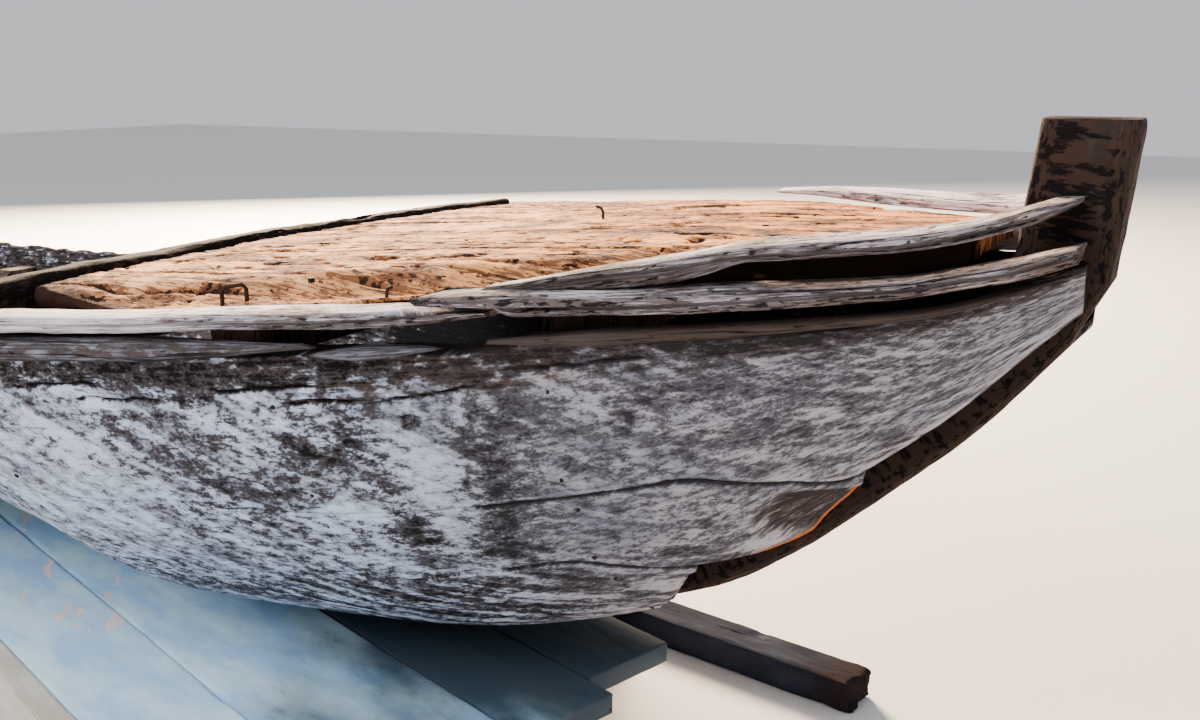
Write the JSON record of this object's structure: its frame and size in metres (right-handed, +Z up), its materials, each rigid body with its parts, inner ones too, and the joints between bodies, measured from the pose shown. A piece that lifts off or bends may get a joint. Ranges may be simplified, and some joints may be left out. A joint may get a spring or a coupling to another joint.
{
  "type": "old wooden river boat",
  "caption": "Old plank-built wooden river boat with decked ends and an open hold, standing on painted boards, bearers and sleepers.",
  "frame": {"origin": "on the ground below midships, at the bottom centre of the bounding box", "axes": "+X to the bow, +Y to port, +Z up"},
  "size_m": [6.46, 1.6, 0.97],
  "materials": {
    "hull_planks": "silver-grey weathered planks with pale patches and dark speckle",
    "rim_timber": "pale grey worn timber with long cracks",
    "dark_timber": "dark brown split timber",
    "deck_planks": "rough tan planks with dark pits and grain cracks",
    "hold_timber": "grey-brown dry timber",
    "painted_board": "blue-grey paint worn through to pale wood",
    "cream_board": "cream paint, scuffed"
  },
  "bodies": {
    "root": {"aft_main_beam": "dark_timber", "afterdeck_beam": "dark_timber", "afterdeck_plank_1": "deck_planks", "afterdeck_plank_2": "deck_planks", "afterdeck_plank_3": "deck_planks", "afterdeck_plank_4": "deck_planks", "afterdeck_plank_5": "deck_planks", "bottom_board_1": "hold_timber", "bottom_board_2": "hold_timber", "bottom_board_3": "hold_timber", "bow_bearer_1": "dark_timber", "bow_bearer_2": "dark_timber", "cream_edge_timber": "cream_board", "fore_main_beam": "dark_timber", "foredeck_beam_1": "dark_timber", "foredeck_beam_2": "dark_timber", "foredeck_plank_1": "deck_planks", "foredeck_plank_2": "deck_planks", "foredeck_plank_3": "deck_planks", "foredeck_plank_4": "deck_planks", "foredeck_plank_5": "deck_planks", "foredeck_plank_6": "deck_planks", "foredeck_plank_7": "deck_planks", "frame_1": "hold_timber", "frame_2": "hold_timber", "frame_3": "hold_timber", "frame_4": "hold_timber", "frame_5": "hold_timber", "frame_6": "hold_timber", "keel_plank": "hull_planks", "port_bilge_strake": "hull_planks", "port_bow_cover": "rim_timber", "port_garboard": "hull_planks", "port_gunwale_aft": "rim_timber", "port_gunwale_fore": "rim_timber", "port_side_strake": "hull_planks", "port_top_strake_aft": "hull_planks", "port_top_strake_fore": "hull_planks", "port_top_strake_waist": "hull_planks", "port_wale_aft": "rim_timber", "port_wale_fore": "rim_timber", "squared_timber": "painted_board", "starboard_bilge_strake": "hull_planks", "starboard_bow_cover": "rim_timber", "starboard_bow_wale": "dark_timber", "starboard_garboard": "hull_planks", "starboard_gunwale_aft": "rim_timber", "starboard_gunwale_fore": "rim_timber", "starboard_side_strake": "hull_planks", "starboard_top_strake": "hull_planks", "starboard_wale": "rim_timber", "stem_post": "dark_timber", "stern_post": "dark_timber", "stern_sleeper_1": "dark_timber", "stern_sleeper_2": "dark_timber", "support_board_1": "painted_board", "support_board_2": "painted_board", "support_board_3": "painted_board", "support_board_4": "painted_board"}
  },
  "joints": []
}
